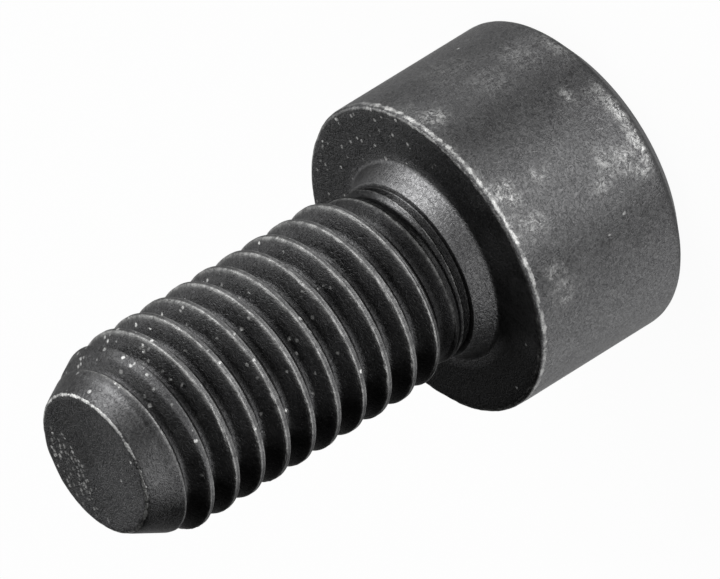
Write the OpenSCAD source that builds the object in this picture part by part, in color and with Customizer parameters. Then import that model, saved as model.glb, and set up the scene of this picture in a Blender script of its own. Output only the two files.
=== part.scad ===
// Hexagon socket head cap screw with a plain round head, threaded up to its neck.
// It stands on its head: the head's top face lies on z = 0, the axis is Z and the tip points up.

/* [Head] */
// Diameter of the head
head_d = 12.85; // [11.5:0.05:14.5]
// Height of the head, from its top face to its bearing face
head_h = 7.75; // [7.2:0.05:9.5]
// Radial width of the chamfer round the top face
head_chamfer_w = 0.98; // [0.6:0.02:1.4]
// Height of the chamfer round the top face
head_chamfer_h = 0.74; // [0.4:0.02:1.2]
// Radius that blends the chamfer into the side
head_blend_r = 0.5; // [0.1:0.05:0.8]
// Radius that breaks the edge of the bearing face
bearing_edge_r = 0.15; // [0.05:0.05:0.4]

/* [Hexagon socket] */
// Width across the flats
socket_af = 6; // [5:0.5:6.5]
// Depth of the flats
socket_depth = 4.4; // [3:0.1:4.8]
// Included angle of the cone at the bottom
socket_bottom_angle = 120; // [100:5:160]
// Width of the countersink outside the hexagon's corners
socket_mouth_w = 0.1; // [0.05:0.05:0.4]
// Included angle of the countersink
socket_mouth_angle = 120; // [90:5:150]

/* [Neck] */
// Diameter of the conical neck at the bearing face
neck_base_d = 8.2; // [7.9:0.05:8.6]
// Diameter of the neck at its thin end
neck_end_d = 7.3; // [7.25:0.05:7.6]
// Length of the neck, from the bearing face
neck_l = 0.85; // [0.6:0.05:1.6]
// Radius of the fillet between the neck and the bearing face
neck_fillet_r = 0.2; // [0.1:0.05:0.4]
// Diameter of the groove between the neck and the thread
groove_d = 6.9; // [6.6:0.05:7.2]
// Width of the groove's bottom, from the neck's thin end
groove_w = 0.35; // [0.2:0.05:0.6]
// Angle between the axis and the groove's wall on the thread's side
groove_wall_angle = 60; // [30:5:75]

/* [Thread] */
// Diameter over the crests
thread_d = 7.97; // [7.4:0.01:8.2]
// Distance from one turn to the next
thread_pitch = 1.25; // [1:0.05:1.5]
// Height of the first crest over the bearing face, on the +X side
thread_start = 0.83; // [0:0.01:1.25]
// Distance from the bearing face at which the crests begin to stand out of the bare rod
crest_start = 1.55; // [1.5:0.05:2]
// Distance from the bearing face at which the crests have their full height
crest_full = 3.3; // [2.6:0.05:4.5]
// Distance from the bearing face at which the roots begin to sink into the bare rod
root_start = 1.3; // [1.2:0.05:2]
// Distance from the bearing face at which the roots have their full depth
root_full = 2.5; // [2.2:0.05:4.5]

/* [Tip] */
// Length of the screw, from its bearing face to its tip
screw_l = 16.35; // [10:0.05:25]
// Diameter of the flat end
tip_d = 5.8; // [4.5:0.1:6.4]
// Angle between the tip's chamfer and the axis
tip_chamfer_angle = 26.5; // [20:0.5:45]
// Radius that breaks the edge of the flat end
tip_edge_r = 0.2; // [0.05:0.05:0.4]

/* [Smoothness] */
// Facets in one turn of the thread
thread_sides = 48; // [24:4:60]
// Facets across the rounded root of the thread
root_sides = 2; // [2:1:3]

/* [Hidden] */
$fn = 96;
head_r = head_d / 2;
neck_base_r = neck_base_d / 2;
neck_end_r = neck_end_d / 2;
groove_r = groove_d / 2;
thread_r = thread_d / 2;
tip_r = tip_d / 2;
neck_top = head_h + neck_l;
groove_top = neck_top + groove_w;
tip_z = head_h + screw_l;

// Metric thread form: height of the full triangle, flat crest, rounded root
flank_angle = 30;
thread_h = thread_pitch / (2 * tan(flank_angle));
crest_w = thread_pitch / 8;
root_arc_r = thread_h / 6;
root_arc_angle = 90 - flank_angle;
root_r = thread_r - thread_h * 17 / 24;
// Rod before the thread is rolled: the diameter at which ridge and groove are equally wide
rod_r = thread_r - thread_h * 3 / 8;

// The thread's mesh starts inside the neck and runs past the tip, and is then cut to the rod's outline
mesh_bottom = head_h + neck_l / 2;
first_crest = head_h + thread_start;
mesh_first = first_crest - thread_pitch * (ceil((first_crest - mesh_bottom) / thread_pitch) + 1);
mesh_turns = ceil((tip_z - mesh_first) / thread_pitch) + 1;

// Points of one turn's outline: [height over the crest's middle, radius at full depth]
crest_points = [[-crest_w / 2, thread_r], [crest_w / 2, thread_r]];
root_points = [
    for (k = [0 : root_sides])
        let (a = root_arc_angle * (2 * k / root_sides - 1))
            [thread_pitch / 2 + root_arc_r * sin(a), root_r + root_arc_r * (1 - cos(a))]
];
turn_points = concat(crest_points, root_points);

// Rises smoothly from 0 to 1 between two distances from the bearing face
function growth(z, start, full) =
    let (u = max(0, min(1, (z - head_h - start) / (full - start))))
        u * u * (3 - 2 * u);

// Radius at height z of a point that lies at full_r past the run-out
function thread_radius(full_r, z) =
    rod_r + (full_r - rod_r) * (full_r > rod_r ? growth(z, crest_start, crest_full)
                                               : growth(z, root_start, root_full));

// A point of the helical surface, by its column round the axis and its row along it
function helix_point(column, row) =
    let (p = turn_points[row % len(turn_points)],
         turn = floor(row / len(turn_points)),
         z = mesh_first + thread_pitch * (turn + column / thread_sides) + p[0],
         r = thread_radius(p[1], z),
         a = 360 * column / thread_sides)
        [r * cos(a), r * sin(a), z];

// Outline of head and neck, with its sharp corners cut at the ends of their arcs
module head_profile() {
    chamfer_angle = atan(head_chamfer_w / head_chamfer_h);
    blend_l = head_blend_r * tan(chamfer_angle / 2);
    neck_angle = atan((neck_base_r - neck_end_r) / neck_l);
    fillet_l = neck_fillet_r * tan((90 - neck_angle) / 2);
    fillet_centre = [neck_base_r + fillet_l, head_h + neck_fillet_r];
    difference() {
        union() {
            polygon([
                [0, 0],
                [head_r - head_chamfer_w, 0],
                [head_r - blend_l * sin(chamfer_angle), head_chamfer_h - blend_l * cos(chamfer_angle)],
                [head_r, head_chamfer_h + blend_l],
                [head_r, head_h - bearing_edge_r],
                [head_r - bearing_edge_r, head_h],
                [fillet_centre[0], head_h],
                fillet_centre,
                [neck_base_r - fillet_l * sin(neck_angle), head_h + fillet_l * cos(neck_angle)],
                [neck_end_r, neck_top],
                [0, neck_top]
            ]);
            translate([head_r - head_blend_r, head_chamfer_h + blend_l]) circle(head_blend_r);
            translate([head_r - bearing_edge_r, head_h - bearing_edge_r]) circle(bearing_edge_r);
        }
        translate(fillet_centre) circle(neck_fillet_r);
    }
}

module hex_socket() {
    corner_r = socket_af / 2 / cos(30);
    mouth_r = corner_r + socket_mouth_w;
    mouth_depth = (mouth_r - socket_af / 2) / tan(socket_mouth_angle / 2);
    bottom_depth = socket_af / 2 / tan(socket_bottom_angle / 2);
    cylinder(r = corner_r, h = socket_depth, $fn = 6);
    cylinder(r1 = mouth_r, r2 = socket_af / 2, h = mouth_depth);
    translate([0, 0, socket_depth]) cylinder(r1 = socket_af / 2, r2 = 0, h = bottom_depth);
}

// Helical surface, closed at each end by a fan of faces to a point on the axis
module thread_mesh() {
    shift = len(turn_points);
    last_row = shift * mesh_turns - 1;
    last_column = thread_sides - 1;
    bottom_point = thread_sides * (last_row + 1);
    top_point = bottom_point + 1;
    // Past the last column the surface closes on column 0, one turn further up
    function index(column, row) =
        column <= last_column ? column * (last_row + 1) + row : row + shift;
    function rows_used(column) = column < last_column ? last_row : last_row - shift;
    points = concat(
        [for (c = [0 : last_column], r = [0 : last_row]) helix_point(c, r)],
        [[0, 0, mesh_first + thread_pitch / 2],
         [0, 0, mesh_first + thread_pitch * (mesh_turns - 1 / 2)]]);
    sides = [
        for (c = [0 : last_column], r = [0 : rows_used(c) - 1])
            each [[index(c, r), index(c + 1, r + 1), index(c + 1, r)],
                  [index(c, r), index(c, r + 1), index(c + 1, r + 1)]]
    ];
    bottom = concat(
        [for (c = [0 : last_column]) [bottom_point, index(c, 0), index(c + 1, 0)]],
        [for (r = [0 : shift - 1]) [bottom_point, r + 1, r]]);
    top = concat(
        [for (c = [0 : last_column]) [top_point, index(c + 1, rows_used(c)), index(c, rows_used(c))]],
        [for (r = [last_row - shift : last_row - 1])
            [top_point, index(last_column, r), index(last_column, r + 1)]]);
    polyhedron(points, concat(sides, bottom, top));
}

// Outline that the rod is cut to: grooved at the neck, chamfered and flat at the tip
module rod_profile() {
    turn = 90 - tip_chamfer_angle;
    edge_l = tip_edge_r * tan(turn / 2);
    outer_r = thread_r + thread_h;
    wall_top = groove_top + (outer_r - groove_r) / tan(groove_wall_angle);
    chamfer_bottom = tip_z - (outer_r - tip_r) / tan(tip_chamfer_angle);
    polygon([
        [0, mesh_bottom],
        [groove_r, mesh_bottom],
        [groove_r, groove_top],
        [outer_r, wall_top],
        [outer_r, chamfer_bottom],
        [tip_r + edge_l * sin(tip_chamfer_angle), tip_z - edge_l * cos(tip_chamfer_angle)],
        [tip_r - edge_l, tip_z],
        [0, tip_z]
    ]);
    translate([tip_r - edge_l, tip_z - tip_edge_r]) circle(tip_edge_r);
}

module threaded_rod() {
    intersection() {
        thread_mesh();
        rotate_extrude() rod_profile();
    }
}

module screw() {
    color([0.17, 0.17, 0.175]) {
        difference() {
            rotate_extrude() head_profile();
            hex_socket();
        }
        threaded_rod();
    }
}

screw();
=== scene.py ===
import math

import bmesh
import bpy
import numpy as np
from mathutils import Matrix, Vector, noise


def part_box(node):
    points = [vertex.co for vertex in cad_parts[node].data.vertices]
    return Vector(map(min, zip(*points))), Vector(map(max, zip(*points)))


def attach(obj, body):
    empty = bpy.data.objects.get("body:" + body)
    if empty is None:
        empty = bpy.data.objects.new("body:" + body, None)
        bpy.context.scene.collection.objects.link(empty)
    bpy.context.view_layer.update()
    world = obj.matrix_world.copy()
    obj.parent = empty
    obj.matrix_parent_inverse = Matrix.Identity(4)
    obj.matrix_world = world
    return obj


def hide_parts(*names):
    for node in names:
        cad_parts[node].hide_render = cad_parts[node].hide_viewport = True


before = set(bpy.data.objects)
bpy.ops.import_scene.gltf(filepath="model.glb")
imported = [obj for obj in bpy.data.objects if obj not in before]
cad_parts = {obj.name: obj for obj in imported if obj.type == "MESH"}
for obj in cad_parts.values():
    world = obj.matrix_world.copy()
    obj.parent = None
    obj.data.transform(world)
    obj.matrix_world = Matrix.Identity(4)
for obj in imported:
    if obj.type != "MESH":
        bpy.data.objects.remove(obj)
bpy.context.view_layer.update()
mm = 0.001
columns = 216                      # points in one turn, a multiple of 12 because of the hexagon's corners
turnAngles = np.arange(columns) * 2 * math.pi / columns
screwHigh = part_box("screw")[1]
headRadius = screwHigh.x / mm
tipHeight = screwHigh.z / mm

# All lengths are in millimetres, and heights are from the head's top face, which stands on the floor.
# Angles round the axis are in degrees, from the -Y side towards -X
shadedSide = (48, 66, 130, 175)  # the side given painted shade and duller crests: where it begins, is full, fades and is gone

head = {
    "height": 7.75,
    "chamferWidth": 0.98,
    "chamferHeight": 0.74,
    "chamferBlend": 0.5,
    "topEdgeRadius": 0.1,
    "bearingEdgeRadius": 0.15,
    "rowStep": 0.45,
    "scuffReach": 0.3,             # how far in from its side scuffs may lie
    "scuffs": [                    # angle, height over the bearing face, half-angle, half-height, strength
        (-16, -6.55, 5, 0.24, 1.0),
        (-8, -6.75, 6, 0.22, 1.3),
        (4, -6.7, 7, 0.24, 1.4),
        (12, -6.5, 3, 0.26, 1.1),
        (-22, -5.5, 3, 0.2, 0.7),
        (7, -5.9, 5, 0.5, 0.6),
        (4, -5.1, 5, 0.35, 0.5),
        (10, -4.5, 2.5, 0.3, 0.6),
        (-4, -0.75, 5, 0.4, 1.0),
        (-46, -0.35, 10, 0.22, 0.7),
        (-20, -0.3, 12, 0.2, 0.7),
        (6, -0.35, 9, 0.22, 0.7),
        (-4, -2.4, 2.5, 0.4, 0.7),
        (9, -1.2, 4, 0.4, 0.5),
        (27, -1.2, 3, 0.35, 0.6),
        (35, -1.4, 5, 0.5, 0.45),
        (-42, -0.9, 4, 0.4, 0.9),
        (-46, -5.5, 7, 0.5, 0.35),
        (-41, -6.85, 8, 0.15, 0.6),
        (-43, -3.7, 6, 0.5, 0.3),
        (-62, -3.2, 8, 0.9, 0.25),
        (118, -3.8, 9, 0.8, 0.6),
        (-128, -6.5, 14, 0.3, 1.0),
        (-118, -5.4, 6, 0.6, 0.6),
        (165, -1.1, 8, 0.4, 0.7),
        (-168, -4.4, 5, 0.5, 0.5),
    ],
}
socket = {
    "acrossFlats": 6.0,
    "depth": 4.4,
    "mouthWidth": 0.1,
    "halfAngle": math.radians(60),  # of the countersink and of the cone at the bottom
    "rowStep": 0.6,
    "coneRings": 8,
    "coneGap": 0.04,               # how far a ring stays from the corner beside it, as the next five
    "bottomGap": 0.03,
    "wallGap": 0.05,
    "sinkGap": 0.03,
    "mouthGap": 0.02,
    "topGap": 0.03,
}
neck = {
    "baseRadius": 4.1,
    "endRadius": 3.65,
    "endRounding": 0.05,
    "length": 0.85,
    "fillet": 0.2,
    "grooveRadius": 3.45,
    "grooveRounding": 0.06,
    "grooveStart": 0.89,           # from the bearing face, as the next two
    "grooveEnd": 1.2,
    "ringStart": 1.28,
    "ringRadius": 3.58,
}
tip = {
    "faceRadius": 2.9,
    "chamferAngle": math.radians(26.5),
    "edgeRadius": 0.2,
    "ringHeight": 0.6,             # of the ring where the thread has run out, below the flat end
    "rowStep": 0.12,
    "faceRings": 12,
    "faceGap": 0.05,               # from the rounded edge to the outermost of these rings
}
screwLength = tipHeight - head["height"]
mouthRadius = socket["acrossFlats"] / 2 / math.cos(math.pi / 6) + socket["mouthWidth"]


def smoothStep(x, start, end):
    u = np.clip((x - start) / (end - start), 0, 1)
    return u * u * (3 - 2 * u)


def bump(x, width):
    return np.exp(-(x / width) ** 2)


def blend(one, other, share):
    return one + (other - one) * share


def levelRound(angle, base, spans=(), glows=()):
    # A level that changes round the axis. A span is a gain and the angles where it begins, is full, fades and
    # is gone, and a glow is a gain, its middle and its half-width
    level = base + 0 * angle
    for gain, begins, full, fades, gone in spans:
        level = level + gain * smoothStep(angle, begins, full) * (1 - smoothStep(angle, fades, gone))
    for gain, middle, halfWidth in glows:
        level = level + gain * bump(angle - middle, halfWidth)
    return level


def noiseAt(points, perMm, shift=0.0):
    # Smooth noise from -1 to 1
    return np.array([noise.noise(Vector(p) * perMm + Vector((shift, -shift, 0))) for p in points])


def placesOf(points):
    # Distance from the axis, angle round it and height over the bearing face
    radius = np.hypot(points[:, 0], points[:, 1])
    angle = np.degrees(np.arctan2(-points[:, 0], -points[:, 1]))
    return radius, angle, points[:, 2] - head["height"]


def roundedOutline(corners, step):
    # Corners are (radius, height, rounding); the result runs along the outline in steps no longer than step
    arcStep = math.radians(15)
    outline = [np.array(corners[0][:2], float)]
    for before, corner, after in zip(corners, corners[1:], corners[2:]):
        here = np.array(corner[:2], float)
        inward = np.array(before[:2]) - here
        outward = np.array(after[:2]) - here
        inward = inward / np.linalg.norm(inward)
        outward = outward / np.linalg.norm(outward)
        half = math.acos(np.clip(inward @ outward, -1, 1)) / 2
        reach = corner[2] / math.tan(half)
        centre = here + (inward + outward) / np.linalg.norm(inward + outward) * corner[2] / math.sin(half)
        first = here + inward * reach - centre
        last = here + outward * reach - centre
        turn = math.pi - 2 * half
        side = np.sign(first[0] * last[1] - first[1] * last[0])
        arcSteps = max(2, round(turn / arcStep))
        for k in range(arcSteps + 1):
            a = side * turn * k / arcSteps
            outline.append(centre + [first[0] * math.cos(a) - first[1] * math.sin(a),
                                     first[0] * math.sin(a) + first[1] * math.cos(a)])
    outline.append(np.array(corners[-1][:2], float))
    filled = [outline[0]]
    for start, end in zip(outline, outline[1:]):
        pieces = max(1, math.ceil(np.linalg.norm(end - start) / step))
        filled += [start + (end - start) * k / pieces for k in range(1, pieces + 1)]
    return filled


def ring(radius, height):
    r = np.broadcast_to(radius, columns)
    return np.stack([r * np.cos(turnAngles), r * np.sin(turnAngles), np.broadcast_to(height, columns)], 1)


def socketRings():
    # From the middle of the cone at the bottom, up the flats and over the countersink
    flat = socket["acrossFlats"] / 2
    depth = socket["depth"]
    spread = math.tan(socket["halfAngle"])
    hexRadius = flat / np.cos(turnAngles % (math.pi / 3) - math.pi / 6)
    wallTop = (mouthRadius - hexRadius) / spread
    wallGap = socket["wallGap"]
    coneRadii = np.linspace(0, flat - socket["coneGap"], socket["coneRings"])
    rings = [ring(r, depth + (flat - r) / spread) for r in coneRadii]
    rings.append(ring(hexRadius - socket["bottomGap"], depth))
    rings.append(ring(hexRadius, depth - wallGap))
    steps = math.ceil(depth / socket["rowStep"])
    for k in range(1, steps + 1):
        rings.append(ring(hexRadius, depth - wallGap + (wallTop + 2 * wallGap - depth) * k / steps))
    rings.append(ring(hexRadius + socket["sinkGap"] * spread, wallTop - socket["sinkGap"]))
    rings.append(ring(mouthRadius - socket["mouthGap"], socket["mouthGap"] / spread))
    return rings


def headRings():
    # Over the top face, down the side, across the bearing face, along the neck and through the ring groove
    top = head["height"]
    corners = [
        (mouthRadius + socket["topGap"], 0, 0),
        (headRadius - head["chamferWidth"], 0, head["topEdgeRadius"]),
        (headRadius, head["chamferHeight"], head["chamferBlend"]),
        (headRadius, top, head["bearingEdgeRadius"]),
        (neck["baseRadius"], top, neck["fillet"]),
        (neck["endRadius"], top + neck["length"], neck["endRounding"]),
        (neck["grooveRadius"], top + neck["grooveStart"], neck["grooveRounding"]),
        (neck["grooveRadius"], top + neck["grooveEnd"], neck["grooveRounding"]),
        (neck["ringRadius"], top + neck["ringStart"], 0),
    ]
    return [ring(r, z) for r, z in roundedOutline(corners, head["rowStep"])]


def chamferRadius(z):
    return tip["faceRadius"] + (tipHeight - z) * math.tan(tip["chamferAngle"])


def tipRings():
    start = tipHeight - tip["ringHeight"]
    corners = [
        (chamferRadius(start), start, 0),
        (tip["faceRadius"], tipHeight, tip["edgeRadius"]),
        (0.0, tipHeight, 0),
    ]
    edge = tip["faceRadius"] - tip["edgeRadius"] - tip["faceGap"]
    chamferPart = [p for p in roundedOutline(corners, tip["rowStep"]) if p[0] > edge]
    facePart = [(r, tipHeight) for r in np.linspace(chamferPart[-1][0], 0, tip["faceRings"])[1:]]
    return [ring(r, z) for r, z in chamferPart + facePart]


thread = {
    "radius": 3.985,
    "pitch": 1.25,
    "flankAngle": math.pi / 6,
    "firstCrest": 0.83,            # height of a crest over the bearing face on the +X side
    "crestWidth": 0.22,
    "crestShift": -0.03,           # the rolled crest leans towards the head
    "shoulder": 0.055,             # rounding between crest and flanks
    "lipOffset": 0.1,              # the crest closes with a lip on each side of a shallow seam
    "lipWidth": 0.04,
    "lipHeight": 0.016,
    "lipEven": 0.8,                # of its height, what stays the same along it and what comes and goes
    "lipUneven": 0.9,
    "lipPerMm": 1.1,
    "seamDepth": 0.016,
    "seamWidth": 0.04,
    "nickDepth": 0.05,
    "nickPerMm": 2.3,
    "nickNoise": (0.33, 0.62),     # noise at which a nick begins, and is as deep as it gets
    "lipsApart": 5.0,              # in the noise, so that the two lips differ
    "firstShare": 0.38,            # of the full depth, where the run-out begins
    "growStart": 1.55,             # from the bearing face, as the next one
    "growFull": 3.25,
    "riseLength": 0.3,             # in which the run-out rises from the neck's ring
    "rootInset": 0.05,             # how far the run-out's bottom stays above the full root
    "runoutSlope": math.radians(36),  # of the run-out's cone
    # Heights of one turn's rows over the crest's middle
    "rowOffsets": [-0.58, -0.5, -0.42, -0.34, -0.28, -0.23, -0.19, -0.16, -0.13, -0.1, -0.07, -0.045, -0.02,
                   0.005, 0.03, 0.055, 0.08, 0.105, 0.13, 0.16, 0.21, 0.28, 0.36, 0.45, 0.54, 0.625],
}
threadDepth = thread["pitch"] / (2 * math.tan(thread["flankAngle"]))
rootRadius = thread["radius"] - threadDepth * 17 / 24
runoutRadius = rootRadius + thread["rootInset"]

# Bare metal along the crests, and a painted highlight on their lips, strongest on the tip-side lip, as a
# share of the surface
crestRubAndHighlight = {
    "tipLip": 0.55,
    "headLip": 0.28,
    "lipReach": 0.06,
    "between": 0.08,
    "betweenReach": 0.03,          # past the lips
    "heights": (1.4, 2.6),         # over the bearing face, where it begins and is full
    "clear": 0.06,                 # how far under the tip's chamfer a whole crest lies
    # Painted shade: less bare metal and highlight on the shaded side
    "shadedSideDimming": {"base": 1.0, "spans": [(-0.8, *shadedSide)]},
}

# Bare metal on the edge where the tip's chamfer cuts the last crest off, with a painted highlight round -35
# degrees
landRubAndHighlight = {
    "reach": 0.12,
    "offsets": (0.14, 0.24),       # from the crest's middle towards the head
    "heights": (1.6, 1.25),        # under the flat end
    "overRoot": 0.1,
    # Painted highlight: brightest round -35 degrees, where the light falls
    "level": {"base": 0.25, "glows": [(0.6, -35, 28), (0.25, 8, 14)]},
}


def threadForm(offset, turn):
    # Radius of the full thread; offset is from the crest's middle towards the tip, turn counts the turns
    rootArc = threadDepth / 6
    fromCrest = offset - thread["crestShift"]
    away = np.abs(fromCrest)
    fall = (away - thread["crestWidth"] / 2) / math.tan(thread["flankAngle"])
    crest = thread["radius"] - thread["shoulder"] * np.log1p(np.exp(fall / thread["shoulder"]))
    fromRoot = np.clip(thread["pitch"] / 2 - np.abs(offset), 0, rootArc)
    root = rootRadius + rootArc - np.sqrt(rootArc ** 2 - fromRoot ** 2)
    along = turn * 2 * math.pi * thread["radius"]
    along = np.stack([along, np.sign(fromCrest) * thread["lipsApart"], along * 0], 1)
    lipSize = thread["lipEven"] + thread["lipUneven"] * noiseAt(along, thread["lipPerMm"])
    nickNoise = noiseAt(along, thread["nickPerMm"], shift=40)
    nick = thread["nickDepth"] * smoothStep(nickNoise, *thread["nickNoise"])
    lips = (thread["lipHeight"] * lipSize - nick) * bump(away - thread["lipOffset"], thread["lipWidth"])
    seam = thread["seamDepth"] * bump(fromCrest, thread["seamWidth"])
    return np.maximum(crest, root) + lips - seam


def crestWearAndHighlight(form, fromCrest, z, angle):
    # How bare and painted bright the crests are, from 0 to 1
    above = z - head["height"]
    away = np.abs(fromCrest)
    onLip = np.where(fromCrest > 0, crestRubAndHighlight["tipLip"], crestRubAndHighlight["headLip"])
    onLip = onLip * bump(away - thread["lipOffset"], crestRubAndHighlight["lipReach"])
    onCrest = crestRubAndHighlight["between"] * (away < thread["lipOffset"] + crestRubAndHighlight["betweenReach"])
    rubbedAndHighlit = np.maximum(onLip, onCrest) * smoothStep(above, *crestRubAndHighlight["heights"])
    rubbedAndHighlit = rubbedAndHighlit * smoothStep(chamferRadius(z) - form, 0.0, crestRubAndHighlight["clear"])
    # Painted shade: the crests' bright lines fade on the shaded side
    rubbedAndHighlit = rubbedAndHighlit * levelRound(angle, **crestRubAndHighlight["shadedSideDimming"])
    landStart, landFull = landRubAndHighlight["heights"]
    cut = bump(form - chamferRadius(z), landRubAndHighlight["reach"]) * smoothStep(-fromCrest, *landRubAndHighlight["offsets"])
    cut = cut * smoothStep(above, screwLength - landStart, screwLength - landFull)
    cut = cut * levelRound(angle, **landRubAndHighlight["level"]) * (form > runoutRadius + landRubAndHighlight["overRoot"])
    return np.clip(rubbedAndHighlit + cut, 0, 1)


def threadGrid():
    # Rows follow the helix; those past either end lie on the end's ring, where they are merged
    low = head["height"] + neck["ringStart"]
    high = tipHeight - tip["ringHeight"]
    pitch = thread["pitch"]
    perTurn = len(thread["rowOffsets"])
    spareTurns = 2                 # at each end, so that the rows reach both rings all round
    firstTurn = math.floor((low - head["height"] - thread["firstCrest"]) / pitch) - spareTurns
    turns = math.ceil((high - low) / pitch) + 2 * spareTurns
    rows = turns * perTurn
    share = np.tile(np.arange(columns) / columns, (rows + 1, 1))
    rowIndex = np.arange(rows + 1)[:, None]
    turn = firstTurn + rowIndex // perTurn + share
    offset = np.array(thread["rowOffsets"])[rowIndex % perTurn] + share * 0
    z = np.clip(head["height"] + thread["firstCrest"] + pitch * turn + offset, low, high)
    form = threadForm(offset.ravel(), (turn + offset / pitch).ravel()).reshape(z.shape)
    above = z - head["height"]
    fromRing = above - neck["ringStart"]
    rod = np.maximum(runoutRadius, neck["ringRadius"] - fromRing * math.tan(thread["runoutSlope"]))
    grown = blend(thread["firstShare"], 1, smoothStep(above, thread["growStart"], thread["growFull"]))
    grown = grown * smoothStep(fromRing, 0, thread["riseLength"])
    radius = np.where(form > rod, rod + (form - rod) * grown, form + (rod - form) * (1 - grown))
    radius = np.minimum(radius, chamferRadius(z))
    radius = np.where(z <= low, neck["ringRadius"], np.where(z >= high, chamferRadius(high), radius))
    angle = share * 2 * math.pi
    points = np.stack([radius * np.cos(angle), radius * np.sin(angle), z], 2)
    fromFront = (90 - 360 * share) % 360 - 180  # the angle that placesOf gives
    wearAndHighlight = crestWearAndHighlight(form, offset - thread["crestShift"], z, fromFront)
    return points, wearAndHighlight * (z > low) * (z < high), perTurn


def scuffMask(points):
    radius, angle, above = placesOf(points)
    total = np.zeros(len(points))
    for patchAngle, patchHeight, halfAngle, halfHeight, strength in head["scuffs"]:
        away = (angle - patchAngle + 180) % 360 - 180
        near = np.exp(-np.abs(away / halfAngle) ** 3 - np.abs((above - patchHeight) / halfHeight) ** 3)
        total = np.maximum(total, strength * near)
    return total * (radius > headRadius - head["scuffReach"]) * (above < 0)


# The rims' bright lines are partly rubbed metal and partly painted highlight, brightest from about -55
# degrees round to 15 on the head and to 50 on the flat end
rimWearAndHighlightLevels = {
    "head": {"base": 0.4, "spans": [(0.6, -85, -55, 15, 60), (-0.25, -25, -8, 15, 60)]},
    "flatEnd": {"base": 0.4, "spans": [(0.6, -85, -55, 50, 100)]},
    "endPart": 2.0,                # how far under the flat end its level reaches
}


def rimWearAndHighlightMask(points):
    radius, angle, above = placesOf(points)
    onHead = levelRound(angle, **rimWearAndHighlightLevels["head"])
    onEnd = levelRound(angle, **rimWearAndHighlightLevels["flatEnd"])
    return np.where(above < screwLength - rimWearAndHighlightLevels["endPart"], onHead, onEnd)


# Bright chips, as the share of the cells that hold one
speck = {
    "perMm": 5.0,                  # cells
    "radius": 0.44,                # of a chip, as a share of a cell
    "everywhere": 0.0004,
    "bearingFace": {"base": 0, "spans": [(0.12, -190, -180, -75, -10)]},
    "thread": {"base": 0, "spans": [(0.06, -190, -180, -40, 60)]},
    "threadHeights": (2.5, 9.0),   # over the bearing face
    "chamferLoss": 0.8,            # how many fewer lie on the tip's chamfer
    "chamferHeights": (1.0, 0.8),  # under the flat end
    "lastTurns": {"base": 0, "spans": [(0.09, -110, -80, -40, -5)]},
    "lastTurnsBegin": (11.5, 13.5),
    "lastTurnsEnd": (15.0, 15.4),
    "flatEnd": 0.01,
    "cluster": 1.0,                # on the flat end; its middle and half-width, across and from front to back
    "clusterAcross": (0.3, 1.5),
    "clusterBack": (1.7, 0.85),
    "slack": 0.05,                 # what counts as lying on a face
}


def speckMask(points):
    radius, angle, above = placesOf(points)
    slack = speck["slack"]
    onBearing = (np.abs(above) < slack) * (radius > neck["baseRadius"])
    share = speck["everywhere"] + levelRound(angle, **speck["bearingFace"]) * onBearing
    chamferStart, chamferFull = speck["chamferHeights"]
    onChamfer = smoothStep(above, screwLength - chamferStart, screwLength - chamferFull)
    onThread = smoothStep(above, *speck["threadHeights"]) * (1 - speck["chamferLoss"] * onChamfer)
    share += levelRound(angle, **speck["thread"]) * onThread * (above < screwLength - slack)
    nearTip = smoothStep(above, *speck["lastTurnsBegin"]) * (1 - smoothStep(above, *speck["lastTurnsEnd"]))
    share += levelRound(angle, **speck["lastTurns"]) * nearTip
    across = (points[:, 0] - speck["clusterAcross"][0]) / speck["clusterAcross"][1]
    back = (points[:, 1] - speck["clusterBack"][0]) / speck["clusterBack"][1]
    onEnd = np.abs(above - screwLength) < slack
    share += onEnd * (speck["cluster"] * np.exp(-(across ** 2 + back ** 2) ** 2) + speck["flatEnd"])
    return share


# Painted light and shade, as a gain on the oxide's colour: palest on the turned neck, partly its paler finish
# and partly a painted highlight, and blackest in the ring groove, the run-out and the roots as painted shade;
# painted reflection bands on the head's side, painted highlights on the tip's chamfer and painted shadow on
# the shaded side of the bearing face and thread
paintedLight = {
    "neck": {"base": 1.05, "spans": [(0.3, 30, 55, 120, 170)], "glows": [(1.35, -38, 26)]},
    "bearingFace": {"base": 1.0, "spans": [(-0.4, -60, -30, 140, 178), (-0.35, *shadedSide)],
                    "glows": [(0.9, 20, 28)]},
    "headSide": {"base": 1.0, "glows": [(-0.27, -28, 11), (-0.2, 25, 8), (0.12, 62, 14), (0.25, -74, 9)]},
    "ring": {"base": 0.3, "glows": [(1.4, -40, 17)]},
    "runout": {"base": 0.2, "spans": [(0.2, -190, -180, -50, -20), (0.2, 120, 175, 180, 190)]},
    "thread": {"base": 1.0, "spans": [(-0.15, -40, 30, 130, 175), (-0.5, *shadedSide),
                                      (-0.25, -150, -100, -62, -42)]},
    "root": {"base": 1.0, "glows": [(-0.68, -5, 30)]},
    "chamfer": {"base": 0.75, "spans": [(-0.25, *shadedSide)],
                "glows": [(0.55, -36, 14), (-0.2, 0, 9), (0.25, 34, 14)]},
    "chamferEdge": {"base": 0, "glows": [(0.9, -32, 24), (0.6, 8, 14)]},
}
# Painted light on the flat end: paler all over, and palest at 60 degrees round the axis
endPaintedLight = {"base": 1.35, "sway": 0.35, "palestAt": 60}

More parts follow.
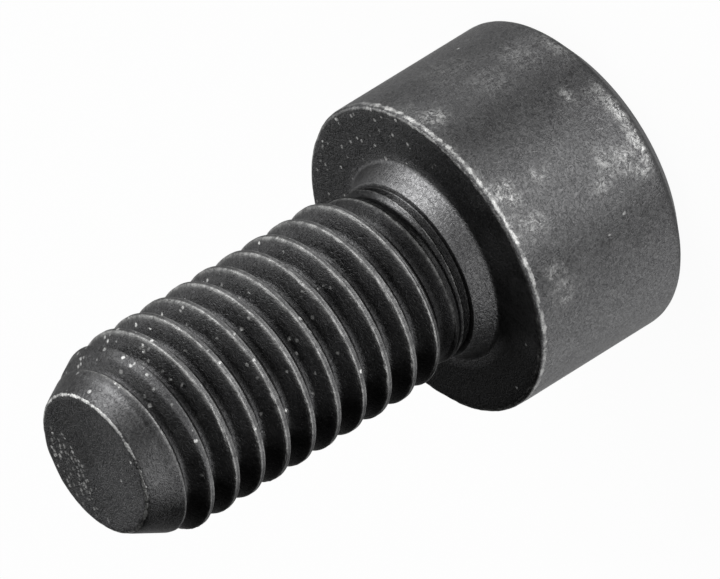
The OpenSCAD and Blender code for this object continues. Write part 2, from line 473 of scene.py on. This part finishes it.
# Where one stretch of painted light and shade gives way to the next
paintedLightEdges = {
    "sideReach": 0.9,              # how far in from its side the head has the side's painted bands
    "headUnder": -0.05,            # heights over the bearing face, as the next four
    "bearingTop": 0.15,
    "neckTop": neck["length"] + 0.03,
    "ringTop": (1.42, 1.6),
    "runoutTop": (2.2, 2.75),
    "bearingWidth": 0.35,          # over which the bearing face's painted light and shade set in round the neck
    "rootRadii": (3.3, 3.55),
    "chamferHeights": (1.0, 0.75),  # of the tip's chamfer, under the flat end, as the next one
    "edgeHeight": 1.1,             # where it first meets the thread on the -Y side; from there it winds
    "edgeFade": (0.1, 0.4),
    "chamferBand": (-0.04, 0.02),  # distances from the chamfer's cone
    "flatEnd": 0.03,
}


def paintedLightMask(points):
    # A gain on the oxide's colour that paints light and shade on it
    radius, angle, above = placesOf(points)
    paintedLevel = {name: levelRound(angle, **level) for name, level in paintedLight.items()}
    deep = smoothStep(radius, *paintedLightEdges["rootRadii"])
    onThread = paintedLevel["thread"] * blend(paintedLevel["root"], 1, deep)
    edgeHeight = screwLength - paintedLightEdges["edgeHeight"] - thread["pitch"] * angle / 360
    fadeStart, fadeEnd = paintedLightEdges["edgeFade"]
    nearEdge = 1 - smoothStep(above, edgeHeight + fadeStart, edgeHeight + fadeEnd)
    onChamfer = paintedLevel["chamfer"] + nearEdge * paintedLevel["chamferEdge"]
    chamferStart, chamferFull = paintedLightEdges["chamferHeights"]
    inside, outside = paintedLightEdges["chamferBand"]
    fromCone = radius - chamferRadius(points[:, 2])
    cut = smoothStep(above, screwLength - chamferStart, screwLength - chamferFull)
    cut = cut * (fromCone > inside) * (fromCone < outside)
    result = blend(onThread, onChamfer, cut)
    result = blend(paintedLevel["runout"], result, smoothStep(above, *paintedLightEdges["runoutTop"]))
    result = blend(paintedLevel["ring"], result, smoothStep(above, *paintedLightEdges["ringTop"]))
    result = np.where(above < paintedLightEdges["neckTop"], paintedLevel["neck"], result)
    fromNeck = smoothStep(radius, neck["baseRadius"], neck["baseRadius"] + paintedLightEdges["bearingWidth"])
    result = np.where(above < paintedLightEdges["bearingTop"], blend(result, paintedLevel["bearingFace"], fromNeck), result)
    onHead = np.where(radius > headRadius - paintedLightEdges["sideReach"], paintedLevel["headSide"], 1)
    result = np.where(above < paintedLightEdges["headUnder"], onHead, result)
    onEnd = endPaintedLight["base"] + endPaintedLight["sway"] * np.cos(np.radians(angle - endPaintedLight["palestAt"]))
    return np.where(above > screwLength - paintedLightEdges["flatEnd"], onEnd, result)


# Small dents along the rims of the bearing face and of the flat end
knocks = {
    "headDepth": 0.05,
    "headReach": 0.16,
    "endDepth": 0.04,
    "endReach": 0.2,
    "broadPerMm": 1.3,
    "finePerMm": 4.0,
    "fineShare": 0.5,
    "dropShare": 0.7,              # how far a dent goes down for how far it goes in
    "coreRadius": 0.1,             # keeps the scale finite on the axis
}


def knockEdges(points):
    radius, angle, above = placesOf(points)
    nearRim = bump(np.hypot(radius - headRadius, above), knocks["headReach"])
    nearEnd = bump(np.hypot(radius - tip["faceRadius"], above - screwLength), knocks["endReach"])
    broad = np.maximum(noiseAt(points, knocks["broadPerMm"], shift=10), 0)
    fine = np.maximum(noiseAt(points, knocks["finePerMm"], shift=20), 0)
    depth = nearRim * knocks["headDepth"] + nearEnd * knocks["endDepth"]
    cut = depth * (broad + knocks["fineShare"] * fine)
    moved = points.copy()
    moved[:, :2] *= (1 - cut / np.maximum(radius, knocks["coreRadius"]))[:, None]
    moved[:, 2] -= cut * knocks["dropShare"]
    return moved


def bandFaces(start, count):
    # Faces between rings that follow each other
    faces = []
    for i in range(count - 1):
        for j in range(columns):
            a = start + i * columns + j
            b = start + i * columns + (j + 1) % columns
            faces.append((a, b, b + columns, a + columns))
    return faces


def helixFaces(start, rows, perTurn):
    # Past the last column each row goes on as the row one turn further up
    faces = []
    for i in range(rows):
        for j in range(columns):
            shift = perTurn if j == columns - 1 else 0
            lower = start + min(i + shift, rows) * columns + (j + 1) % columns
            upper = start + min(i + 1 + shift, rows) * columns + (j + 1) % columns
            faces.append((start + i * columns + j, lower, upper, start + (i + 1) * columns + j))
    return faces


weldDistance = 0.0004              # points closer than this become one
shortestEdge = 0.0002


def makeScrew():
    lowRings = socketRings() + headRings()
    highRings = tipRings()
    grid, threadWearAndHighlight, perTurn = threadGrid()
    points = np.concatenate([np.array(lowRings).reshape(-1, 3), grid.reshape(-1, 3),
                             np.array(highRings).reshape(-1, 3)])
    gridStart = len(lowRings) * columns
    highStart = gridStart + len(grid) * columns
    faces = bandFaces(0, len(lowRings)) + bandFaces(highStart, len(highRings))
    faces += helixFaces(gridStart, len(grid) - 1, perTurn)
    wearAndHighlight = np.zeros(len(points))
    wearAndHighlight[gridStart:highStart] = threadWearAndHighlight.ravel()
    masks = {"crestWearAndHighlight": wearAndHighlight, "rimWearAndHighlight": rimWearAndHighlightMask(points), "scuffed": scuffMask(points),
             "speckShare": speckMask(points), "paintedLevel": paintedLightMask(points)}
    mesh = bpy.data.meshes.new("screwBody")
    mesh.from_pydata((knockEdges(points) * mm).tolist(), [], faces)
    for name, values in masks.items():
        layer = mesh.attributes.new(name, "FLOAT", "POINT")
        layer.data.foreach_set("value", np.asarray(values, np.float32))
    work = bmesh.new()
    work.from_mesh(mesh)
    bmesh.ops.remove_doubles(work, verts=work.verts, dist=weldDistance * mm)
    bmesh.ops.dissolve_degenerate(work, edges=work.edges, dist=shortestEdge * mm)
    bmesh.ops.recalc_face_normals(work, faces=work.faces)
    openEdges = sum(1 for e in work.edges if len(e.link_faces) != 2)
    work.to_mesh(mesh)
    work.free()
    mesh.shade_smooth()
    triangles = sum(len(p.vertices) - 2 for p in mesh.polygons)
    print("screw:", len(mesh.vertices), "points,", triangles, "triangles,", openEdges, "open edges")
    screw = bpy.data.objects.new("screwBody", mesh)
    bpy.context.scene.collection.objects.link(screw)
    return screw


def nodeMaker(tree):
    # Inputs are given by name, or as i0, i1 and so on; set_ stands before a setting of the node itself
    def make(kind, **inputs):
        node = tree.nodes.new(kind)
        settings = {name[4:]: value for name, value in inputs.items() if name.startswith("set_")}
        for name, value in settings.items():
            setattr(node, name, value)
        for name, value in inputs.items():
            if name.startswith("set_"):
                continue
            numbered = name[0] == "i" and name[1:].isdigit()
            entry = node.inputs[int(name[1:]) if numbered else name]
            if isinstance(value, bpy.types.NodeSocket):
                tree.links.new(value, entry)
            else:
                entry.default_value = value
        return node
    return make


def calc(make, operation, *values, clamp=False):
    inputs = {f"i{k}": value for k, value in enumerate(values)}
    return make("ShaderNodeMath", set_operation=operation, set_use_clamp=clamp, **inputs).outputs[0]


def remap(make, value, fromLow, fromHigh, toLow=0.0, toHigh=1.0):
    return make("ShaderNodeMapRange", i0=value, i1=fromLow, i2=fromHigh, i3=toLow, i4=toHigh).outputs[0]


def noiseOf(make, place, perMm, detail, roughness, distortion=0.0):
    return make("ShaderNodeTexNoise", Vector=place, Scale=perMm, Detail=detail, Roughness=roughness,
                Distortion=distortion).outputs["Fac"]


def mixOf(make, share, one, other):
    return make("ShaderNodeMix", set_data_type="RGBA", i0=share, i6=one, i7=other).outputs[2]


def startGroup(name, inputs, outputs):
    # A group with the surface's place in millimetres at hand
    group = bpy.data.node_groups.new(name, "ShaderNodeTree")
    for label, value in inputs.items():
        group.interface.new_socket(label, in_out="INPUT", socket_type="NodeSocketFloat").default_value = value
    for label in outputs:
        group.interface.new_socket(label, in_out="OUTPUT", socket_type="NodeSocketFloat")
    make = nodeMaker(group)
    start = make("NodeGroupInput").outputs
    place = make("ShaderNodeTexCoord").outputs["Object"]
    place = make("ShaderNodeVectorMath", set_operation="SCALE", i0=place, Scale=1 / mm).outputs[0]
    return group, make, start, place


middleOfNoise = 0.5

# Numbers of the shader groups. A noise is its bumps per millimetre, detail, roughness and distortion.
# A range is the two values between which an input counts, and what it becomes there where that isn't 0 and 1
grainNumbers = {
    "threads": (2.0, 0.6, 1.6),    # a noise but for its bumps per millimetre, which the material gives
    "threadRange": (0.3, 0.7),
    "patches": (0.8, 5.0, 0.6),
}
edgeNumbers = {
    "breaks": (2.8, 7.0, 0.75),
    "keepRange": (0.42, 0.64, 0.25, 1.0),
}
rimNumbers = {
    "sway": (2.2, 5.0, 0.7),
    "breaks": (2.8, 6.0, 0.8),
    "keepRange": (0.4, 0.66, 0.08, 1.0),
    "thinnest": 0.5,               # of the line, in widths, and what it gains where it is kept best
    "thicker": 1.2,
    "lineRange": (0.6, 1.4, 1.0, 0.0),
}
scuffNumbers = {
    "cloud": (3.0, 5.0, 0.75, 0.8),
    "cloudRange": (0.48, 0.57),
    "scratches": (2.4, 3.0, 0.65, 2.4),
    "scratchRange": (0.005, 0.035, 0.8, 0.0),
}
chipNumbers = {
    "bendPerMm": 5.0,
    "bend": 0.09,                  # how far the chips' outlines are bent, in millimetres
    "outlineRange": (0.5, 1.1, 1.0, 0.0),
    "strengthRange": (0.0, 1.0, 0.3, 1.0),
}


def grainGroup():
    # Mottled grain of the oxide: short winding threads over faint broad patches
    group, make, start, place = startGroup("oxideGrain", {"Density": 9.0}, ["Grain", "Patches"])
    fine = noiseOf(make, place, start["Density"], *grainNumbers["threads"])
    crisp = remap(make, fine, *grainNumbers["threadRange"])
    broad = noiseOf(make, place, *grainNumbers["patches"])
    make("NodeGroupOutput", Grain=crisp, Patches=broad)
    return group


def wearAndHighlightGroup():
    # Breaks up an edge mask, so that rubbed metal and painted highlight come and go along it
    group, make, start, place = startGroup("edgeRubAndHighlight", {"Edge": 0.0}, ["Bare"])
    keep = remap(make, noiseOf(make, place, *edgeNumbers["breaks"]), *edgeNumbers["keepRange"])
    make("NodeGroupOutput", Bare=calc(make, "MULTIPLY", start["Edge"], keep, clamp=True))
    return group


def rimGroup():
    # A thin wandering line of bare metal and painted highlight round the axis, at one radius and height
    inputs = {"Radius": 1.0, "Height": 0.0, "Width": 0.05, "Wander": 0.1, "Share": 1.0}
    group, make, start, place = startGroup("rimRubAndHighlight", inputs, ["Bare"])
    flat = make("ShaderNodeVectorMath", set_operation="MULTIPLY", i0=place, i1=(1, 1, 0)).outputs[0]
    radius = make("ShaderNodeVectorMath", set_operation="LENGTH", i0=flat).outputs["Value"]
    height = make("ShaderNodeSeparateXYZ", Vector=place).outputs["Z"]
    sway = calc(make, "SUBTRACT", noiseOf(make, place, *rimNumbers["sway"]), middleOfNoise)
    sway = calc(make, "MULTIPLY", sway, start["Wander"])
    across = calc(make, "ADD", calc(make, "SUBTRACT", radius, start["Radius"]), sway)
    above = calc(make, "ADD", calc(make, "SUBTRACT", height, start["Height"]), sway)
    away = make("ShaderNodeCombineXYZ", X=across, Y=above).outputs[0]
    away = make("ShaderNodeVectorMath", set_operation="LENGTH", i0=away).outputs["Value"]
    near = calc(make, "DIVIDE", away, start["Width"])
    keep = remap(make, noiseOf(make, place, *rimNumbers["breaks"]), *rimNumbers["keepRange"])
    reach = calc(make, "MULTIPLY_ADD", keep, rimNumbers["thicker"], rimNumbers["thinnest"])
    line = remap(make, calc(make, "DIVIDE", near, reach), *rimNumbers["lineRange"])
    part = calc(make, "MULTIPLY", line, keep)
    make("NodeGroupOutput", Bare=calc(make, "MULTIPLY", part, start["Share"], clamp=True))
    return group


def scuffGroup():
    # Cloudy rubs with winding scratches through them
    group, make, start, place = startGroup("scuffs", {"Region": 0.0}, ["Scuff"])
    cloud = remap(make, noiseOf(make, place, *scuffNumbers["cloud"]), *scuffNumbers["cloudRange"])
    scratches = calc(make, "SUBTRACT", noiseOf(make, place, *scuffNumbers["scratches"]), middleOfNoise)
    scratches = remap(make, calc(make, "ABSOLUTE", scratches), *scuffNumbers["scratchRange"])
    both = calc(make, "MAXIMUM", cloud, scratches)
    make("NodeGroupOutput", Scuff=calc(make, "MULTIPLY", both, start["Region"], clamp=True))
    return group


def speckGroup():
    # Small bright chips, some fainter than others, one at most in a cell
    inputs = {"Density": 1.6, "Radius": 0.07, "Share": 0.1}
    group, make, start, place = startGroup("brightSpecks", inputs, ["Speck"])
    bent = make("ShaderNodeTexNoise", Vector=place, Scale=chipNumbers["bendPerMm"], Detail=1.0)
    bent = make("ShaderNodeVectorMath", set_operation="SCALE", i0=bent.outputs["Color"],
                Scale=chipNumbers["bend"])
    place = make("ShaderNodeVectorMath", set_operation="ADD", i0=place, i1=bent.outputs[0]).outputs[0]
    cells = make("ShaderNodeTexVoronoi", Vector=place, Scale=start["Density"], Randomness=1.0).outputs
    near = calc(make, "DIVIDE", cells["Distance"], start["Radius"])
    chances = make("ShaderNodeSeparateColor", i0=cells["Color"]).outputs
    strength = remap(make, chances[1], *chipNumbers["strengthRange"])
    inside = calc(make, "MULTIPLY", remap(make, near, *chipNumbers["outlineRange"]), strength)
    chosen = calc(make, "LESS_THAN", chances[0], start["Share"])
    make("NodeGroupOutput", Speck=calc(make, "MULTIPLY", inside, chosen))
    return group


# Blackened steel
finish = {
    "oxideDark": (0.028, 0.028, 0.029, 1),
    "oxideLight": (0.118, 0.118, 0.119, 1),
    "worn": (0.36, 0.36, 0.355, 1),
    "bareSteelAndHighlight": (0.55, 0.55, 0.54, 1),
    "edgeTint": (0.55, 0.55, 0.55, 1),
    "grainShare": 0.7,             # of the step from dark to light oxide
    "patchShare": (0.02, 0.2),
    "patchRange": (0.3, 0.7),      # of the patches' noise
    "roughness": (0.36, 0.46),
    "grit": (0.4, 1.15),           # how the grain breaks up the scuffs
    "grainPerMm": 7.5,
    "grainDepth": 0.011,
}

# Rims painted bright, partly as rubbed metal and partly as painted edge highlights: radius, height, width of
# the line, how far it wanders, strength
rims = {
    "bearingFace": (headRadius - 0.1, head["height"], 0.05, 0.16, 0.7),
    "headSide": (headRadius, head["height"] - 0.19, 0.07, 0.3, 1.05),
    "flatEnd": (tip["faceRadius"] - 0.02, tipHeight - 0.02, 0.05, 0.1, 3.0),
    "chamferTop": (headRadius - head["chamferWidth"], 0.0, 0.05, 0.1, 0.7),
    "socketMouth": (mouthRadius, 0.0, 0.04, 0.08, 0.6),
    # The ring's line is a painted highlight along its edge
    "ring": (neck["ringRadius"], head["height"] + neck["ringStart"], 0.035, 0.03, 0.3),
}


def blackSteel():
    material = bpy.data.materials.new("blackenedSteel")
    material.use_nodes = True
    tree = material.node_tree
    tree.nodes.clear()
    make = nodeMaker(tree)

    def mask(name):
        return make("ShaderNodeAttribute", set_attribute_name=name).outputs["Fac"]

    grain = make("ShaderNodeGroup", set_node_tree=grainGroup(), Density=finish["grainPerMm"]).outputs
    bareAndHighlightShare = make("ShaderNodeGroup", set_node_tree=wearAndHighlightGroup(), Edge=mask("crestWearAndHighlight")).outputs["Bare"]
    rimTree = rimGroup()
    rimWearAndHighlightShare = mask("rimWearAndHighlight")
    for name, (radius, height, width, wander, strength) in rims.items():
        share = calc(make, "MULTIPLY", rimWearAndHighlightShare, strength)
        rim = make("ShaderNodeGroup", set_node_tree=rimTree, set_label=name, Radius=radius, Height=height,
                   Width=width, Wander=wander, Share=share)
        bareAndHighlightShare = calc(make, "MAXIMUM", bareAndHighlightShare, rim.outputs["Bare"])
    specks = make("ShaderNodeGroup", set_node_tree=speckGroup(), Density=speck["perMm"],
                  Radius=speck["radius"], Share=mask("speckShare"))
    bareAndHighlightShare = calc(make, "MAXIMUM", bareAndHighlightShare, specks.outputs["Speck"])
    scuff = make("ShaderNodeGroup", set_node_tree=scuffGroup(), Region=mask("scuffed")).outputs["Scuff"]
    patches = remap(make, grain["Patches"], *finish["patchRange"], *finish["patchShare"])
    lightness = calc(make, "MULTIPLY_ADD", grain["Grain"], finish["grainShare"], patches)
    oxide = mixOf(make, lightness, finish["oxideDark"], finish["oxideLight"])
    # The painted light and shade scale the oxide's colour
    oxide = make("ShaderNodeVectorMath", set_operation="SCALE", i0=oxide, Scale=mask("paintedLevel")).outputs[0]
    grit = remap(make, grain["Grain"], 0.0, 1.0, *finish["grit"])
    scuffed = mixOf(make, calc(make, "MULTIPLY", scuff, grit, clamp=True), oxide, finish["worn"])
    # Bare steel colour for rubbed metal and chips, and for the painted highlights along crests and rims
    colour = mixOf(make, bareAndHighlightShare, scuffed, finish["bareSteelAndHighlight"])
    rough = remap(make, grain["Patches"], *finish["patchRange"], *finish["roughness"])
    relief = make("ShaderNodeBump", Height=grain["Grain"], Strength=1.0, Distance=finish["grainDepth"] * mm)
    surface = make("ShaderNodeBsdfPrincipled", Metallic=1.0, Roughness=rough, Normal=relief.outputs["Normal"])
    surface.inputs["Specular Tint"].default_value = finish["edgeTint"]
    tree.links.new(colour, surface.inputs["Base Color"])
    make("ShaderNodeOutputMaterial", Surface=surface.outputs[0])
    return material


# Camera: it looks at the screw from the front and above, and is rolled so that the tip points down and left
camera = {
    "elevation": math.radians(28.8),
    "axisAcross": -0.8507,         # the way that the screw's axis points in the picture, across and up
    "axisUp": -0.5258,
    "pixelsPerMm": 26.95,
    "picture": (720, 579),
    "bearingPixel": (425.0, 259.6),  # the picture's pixel where the bearing face's centre falls
    "distance": 900.0,
    "sensor": 36,
}


def cameraAxes():
    lift = camera["elevation"]
    back = Vector((0, -math.cos(lift), math.sin(lift)))
    along = Vector((0, math.sin(lift), math.cos(lift)))
    beside = back.cross(along)
    right = along * camera["axisAcross"] - beside * camera["axisUp"]
    up = along * camera["axisUp"] + beside * camera["axisAcross"]
    return right.normalized(), up.normalized(), back


def placeCamera():
    right, up, back = cameraAxes()
    width, height = camera["picture"]
    across = (camera["bearingPixel"][0] - width / 2) / camera["pixelsPerMm"]
    above = (height / 2 - camera["bearingPixel"][1]) / camera["pixelsPerMm"]
    aim = Vector((0, 0, head["height"])) - right * across - up * above
    data = bpy.data.cameras.new("camera")
    data.sensor_width = camera["sensor"]
    data.lens = data.sensor_width * camera["distance"] * camera["pixelsPerMm"] / width
    data.clip_start = 0.01
    data.clip_end = 5
    holder = bpy.data.objects.new("camera", data)
    holder.matrix_world = Matrix((right, up, back)).transposed().to_4x4()
    holder.location = (aim + back * camera["distance"]) * mm
    bpy.context.scene.collection.objects.link(holder)
    bpy.context.scene.camera = holder


# Softboxes: the turn is the angle round the axis, and the lift is the angle above the floor
softboxes = {
    "front": {"turn": 3, "lift": -29, "halfTurn": 26, "halfLift": 16, "level": 3.6},
    "lowSide": {"turn": 106, "lift": -29, "halfTurn": 36, "halfLift": 16, "level": 1.45},
    "lowTop": {"turn": -88, "lift": -29, "halfTurn": 13, "halfLift": 14, "level": 1.9},
    "key": {"turn": -68, "lift": 16, "halfTurn": 24, "halfLift": 12, "level": 3.2},
    "keyHigh": {"turn": -70, "lift": 28, "halfTurn": 24, "halfLift": 10, "level": 2.9},
    "side": {"turn": 53, "lift": 14, "halfTurn": 32, "halfLift": 10, "level": 2.8},
    "back": {"turn": -143, "lift": 36, "halfTurn": 26, "halfLift": 14, "level": 1.6},
}
boxDistance = 250.0
boxAim = Vector((0, 0, 12.0))


def hangSoftboxes():
    for name, box in softboxes.items():
        turn = math.radians(box["turn"])
        lift = math.radians(box["lift"])
        way = Vector((-math.sin(turn) * math.cos(lift), -math.cos(turn) * math.cos(lift), math.sin(lift)))
        data = bpy.data.lights.new(name, "AREA")
        data.shape = "RECTANGLE"
        data.size = 2 * boxDistance * math.tan(math.radians(box["halfTurn"])) * mm
        data.size_y = 2 * boxDistance * math.tan(math.radians(box["halfLift"])) * mm
        data.energy = box["level"] * math.pi * data.size * data.size_y
        holder = bpy.data.objects.new(name, data)
        holder.location = (boxAim + way * boxDistance) * mm
        holder.rotation_euler = way.to_track_quat("Z", "Y").to_euler()
        bpy.context.scene.collection.objects.link(holder)


room = {
    "white": (1, 1, 1, 1),
    "ambient": 0.4,                # level of the world's plain light
    "ceiling": 0.0,                # level of the studio's dark part, overhead and to the right
    "darkWay": (-0.552, 0.452, 0.703),  # the way to the middle of that part
    "paleTo": 0.35,                # cosine of the angle from there to which the surroundings stay pale
    "darkFrom": 0.75,
    "floorHalf": 400.0,
    "floorGap": 0.02,              # keeps the floor just clear of the face that stands on it
    "floorColour": (0.9, 0.9, 0.9, 1),
    "shadowShare": 0.05,           # how much of the floor's own shading the camera sees
}


def seenByCameraAndGloss(make, other, white):
    path = make("ShaderNodeLightPath").outputs
    seen = calc(make, "MAXIMUM", path["Is Camera Ray"], path["Is Glossy Ray"])
    seen = calc(make, "MAXIMUM", seen, path["Is Transmission Ray"])
    return make("ShaderNodeMixShader", i0=seen, i1=other.outputs[0], i2=white.outputs[0])


def makeRoom():
    world = bpy.data.worlds.new("room")
    world.use_nodes = True
    world.node_tree.nodes.clear()
    make = nodeMaker(world.node_tree)
    plain = make("ShaderNodeBackground", Color=room["white"], Strength=room["ambient"])
    way = make("ShaderNodeTexCoord").outputs["Generated"]
    toDark = make("ShaderNodeVectorMath", set_operation="DOT_PRODUCT", i0=way, i1=room["darkWay"])
    pale = remap(make, toDark.outputs["Value"], room["paleTo"], room["darkFrom"], 1.0, room["ceiling"])
    toCamera = make("ShaderNodeLightPath").outputs["Is Camera Ray"]
    white = make("ShaderNodeBackground", Color=room["white"], Strength=calc(make, "MAXIMUM", toCamera, pale))
    make("ShaderNodeOutputWorld", Surface=seenByCameraAndGloss(make, plain, white).outputs[0])
    bpy.context.scene.world = world


def paleFloor():
    # White to the camera and in gloss, and clear from below
    material = bpy.data.materials.new("paleFloor")
    material.use_nodes = True
    material.node_tree.nodes.clear()
    make = nodeMaker(material.node_tree)
    pale = make("ShaderNodeBsdfDiffuse", Color=room["floorColour"])
    white = make("ShaderNodeEmission", Color=room["white"], Strength=1.0)
    shade = make("ShaderNodeMixShader", i0=room["shadowShare"], i1=white.outputs[0], i2=pale.outputs[0])
    below = make("ShaderNodeNewGeometry").outputs["Backfacing"]
    clear = make("ShaderNodeBsdfTransparent")
    seen = seenByCameraAndGloss(make, pale, shade)
    surface = make("ShaderNodeMixShader", i0=below, i1=seen.outputs[0], i2=clear.outputs[0])
    make("ShaderNodeOutputMaterial", Surface=surface.outputs[0])
    return material


def makeFloor():
    half = room["floorHalf"] * mm
    under = -room["floorGap"] * mm
    corners = [(-half, -half, under), (half, -half, under), (half, half, under), (-half, half, under)]
    mesh = bpy.data.meshes.new("floor")
    mesh.from_pydata(corners, [], [(0, 1, 2, 3)])
    mesh.materials.append(paleFloor())
    floor = bpy.data.objects.new("floor", mesh)
    bpy.context.scene.collection.objects.link(floor)
    floor.visible_glossy = False
    floor.visible_diffuse = False
    floor.visible_shadow = False


screwBody = makeScrew()
screwBody.data.materials.append(blackSteel())
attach(screwBody, "root")
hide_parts("screw")
print("screw dressed")

makeRoom()
makeFloor()
hangSoftboxes()
placeCamera()
bpy.context.scene.view_settings.view_transform = "Standard"
print("room, lights and camera set")
